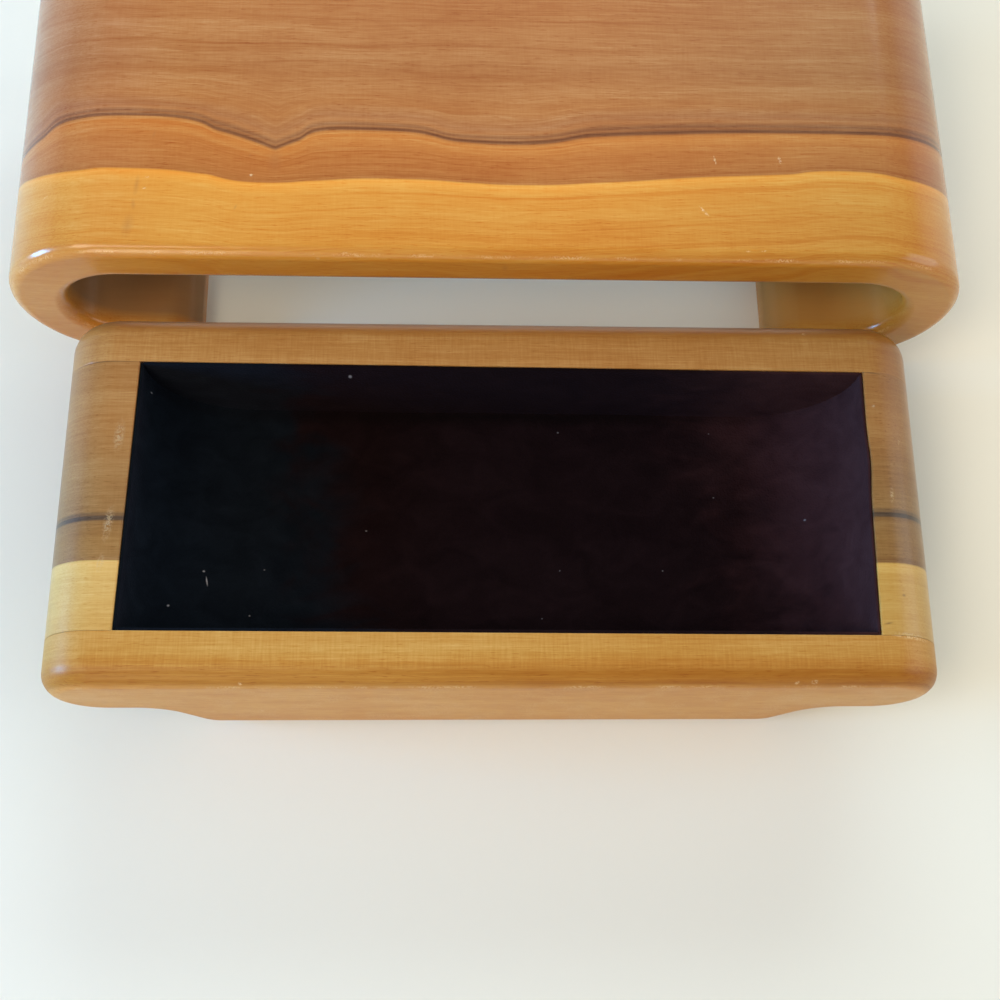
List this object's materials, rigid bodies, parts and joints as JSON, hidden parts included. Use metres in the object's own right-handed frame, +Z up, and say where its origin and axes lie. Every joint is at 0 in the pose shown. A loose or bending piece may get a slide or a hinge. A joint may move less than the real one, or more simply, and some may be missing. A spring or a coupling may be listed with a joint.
{
  "type": "trinket box",
  "caption": "Band-sawn wooden trinket box: a velvet-lined tray slides front to back inside a sleeve with curled-under ends and an open underside.",
  "frame": {"origin": "on the table, at the centre of the whole group's footprint, with the tray drawn out in front of the sleeve", "axes": "+X along the box to the right, +Y from the tray towards the sleeve, which is the way the tray closes, +Z up"},
  "size_m": [0.1778, 0.143, 0.0415],
  "materials": {
    "sleeve_wood": "satin varnish over golden sapwood and orange-brown heartwood",
    "tray_wood": "satin varnish, heartwood and sapwood in bands across the grain",
    "sapwood": "satin varnish, golden sapwood",
    "heartwood": "satin varnish, reddish-brown heartwood",
    "velvet": "short-pile velvet, near-black purple"
  },
  "bodies": {
    "sleeve": {"sleeve": "sleeve_wood"},
    "tray": {"tray_core": "tray_wood", "tray_front_board": "sapwood", "tray_back_board": "heartwood", "trough_lining": "velvet", "front_lining": "velvet", "back_lining": "velvet"}
  },
  "joints": [
    {"name": "tray_slide", "type": "slide", "parent": "sleeve", "child": "tray", "axis": [0, 1, 0], "range_m": [0, 0.0744]}
  ]
}
